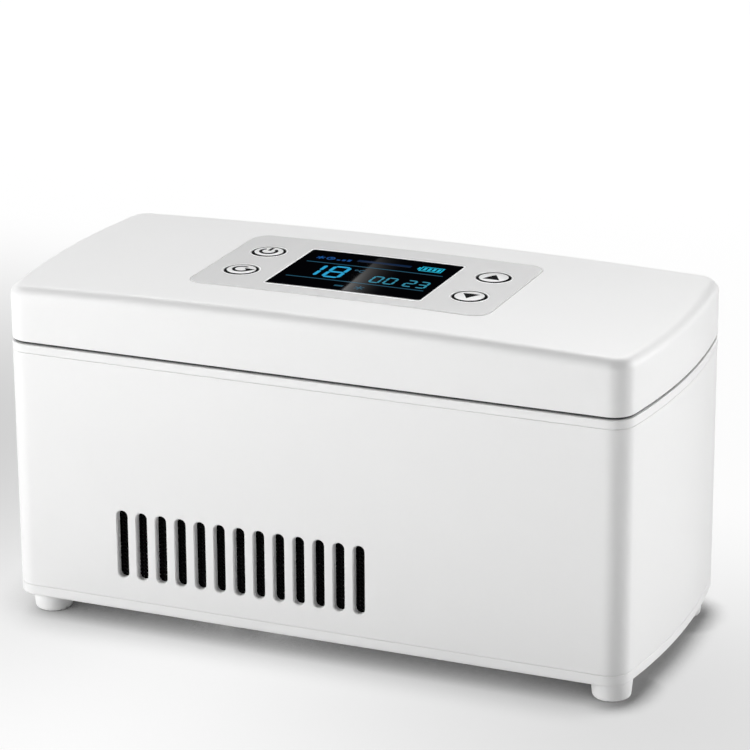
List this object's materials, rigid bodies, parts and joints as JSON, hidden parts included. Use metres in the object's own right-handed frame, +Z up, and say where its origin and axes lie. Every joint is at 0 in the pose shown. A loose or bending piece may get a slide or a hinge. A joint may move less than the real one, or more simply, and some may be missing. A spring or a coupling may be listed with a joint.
{
  "type": "insulin cooling case",
  "caption": "Table-top cooling case for insulin: white body with air slots and feet, hinged crowned lid with a display and push buttons, cold chamber over a thermoelectric cooler and fan.",
  "frame": {"origin": "middle of the footprint, hinge knuckles included, on the surface that the feet stand on", "axes": "+X along the length, to the right of someone facing the front; -Y towards the front with the air slots; +Z up"},
  "size_m": [0.205, 0.093, 0.109],
  "materials": {
    "white_plastic": "satin-gloss moulded ABS",
    "liner_plastic": "matt moulded ABS",
    "button_white": "glossy, domed, with a dark printed ring and symbol",
    "silver_panel": "fine satin silver",
    "window_black": "polished black pane with lit blue figures",
    "lcd_glass": "smooth",
    "chamber_aluminium": "satin drawn sheet",
    "block_aluminium": "milled",
    "black_aluminium": "black anodised extrusion",
    "steel": "zinc plated",
    "foam": "moulded closed-cell foam",
    "white_ceramic": "matt alumina",
    "black_plastic": "matt",
    "screen_black": "fine woven mesh",
    "cell_wrap": "shrink sleeve",
    "circuit_board": "green solder mask",
    "ferrite": "matt ferrite",
    "grey_rubber": "soft matt seal"
  },
  "bodies": {
    "case": {"body_sleeve": "white_plastic", "base_plate": "white_plastic", "deck_frame": "white_plastic", "foot_front_left": "white_plastic", "foot_front_right": "white_plastic", "foot_rear_left": "white_plastic", "foot_rear_right": "white_plastic", "foot_screw_front_left": "steel", "foot_screw_front_right": "steel", "foot_screw_rear_left": "steel", "foot_screw_rear_right": "steel", "chamber_liner": "chamber_aluminium", "insulation_block": "foam", "cold_block": "block_aluminium", "thermoelectric_module": "white_ceramic", "heat_sink": "black_aluminium", "fan_frame": "black_plastic", "fan_screw_1": "steel", "fan_screw_2": "steel", "fan_screw_3": "steel", "fan_screw_4": "steel", "battery_cradle": "black_plastic", "battery_cell_1": "cell_wrap", "battery_cell_2": "cell_wrap", "battery_cell_3": "cell_wrap", "control_board": "circuit_board", "power_inlet": "black_plastic", "alarm_buzzer": "black_plastic", "power_coil": "ferrite", "front_dust_screen": "screen_black", "rear_dust_screen": "screen_black", "temperature_probe": "steel", "striker_plate": "steel", "hinge_pin_left": "steel", "hinge_pin_right": "steel"},
    "lid": {"lid_shell": "white_plastic", "lid_liner": "liner_plastic", "lid_insulation": "foam", "lid_seal": "grey_rubber", "lid_magnet": "steel", "lid_screw_1": "steel", "lid_screw_2": "steel", "lid_screw_3": "steel", "lid_screw_4": "steel", "control_panel": "silver_panel", "display_window": "window_black", "lcd_module": "lcd_glass", "display_board": "circuit_board", "power_switch": "black_plastic", "auto_switch": "black_plastic", "up_switch": "black_plastic", "down_switch": "black_plastic"},
    "fan": {"fan_rotor": "black_plastic"},
    "power_key": {"power_button": "button_white"},
    "auto_key": {"auto_button": "button_white"},
    "up_key": {"up_button": "button_white"},
    "down_key": {"down_button": "button_white"}
  },
  "joints": [
    {"name": "lid_hinge", "type": "hinge", "parent": "case", "child": "lid", "pos_m": [0, 0.04354, 0.08968], "axis": [-1, 0, 0], "range_deg": [0, 100]},
    {"name": "fan_spin", "type": "hinge", "parent": "case", "child": "fan", "pos_m": [-0.024, -0.00146, 0.0179], "axis": [0, 0, 1], "continuous": true},
    {"name": "power_press", "type": "slide", "parent": "lid", "child": "power_key", "axis": [0, 0, -1], "range_m": [0, 0.0006], "stiffness_N_per_m": 400, "springref_m": -0.001},
    {"name": "auto_press", "type": "slide", "parent": "lid", "child": "auto_key", "axis": [0, 0, -1], "range_m": [0, 0.0006], "stiffness_N_per_m": 400, "springref_m": -0.001},
    {"name": "up_press", "type": "slide", "parent": "lid", "child": "up_key", "axis": [0, 0, -1], "range_m": [0, 0.0006], "stiffness_N_per_m": 400, "springref_m": -0.001},
    {"name": "down_press", "type": "slide", "parent": "lid", "child": "down_key", "axis": [0, 0, -1], "range_m": [0, 0.0006], "stiffness_N_per_m": 400, "springref_m": -0.001}
  ]
}
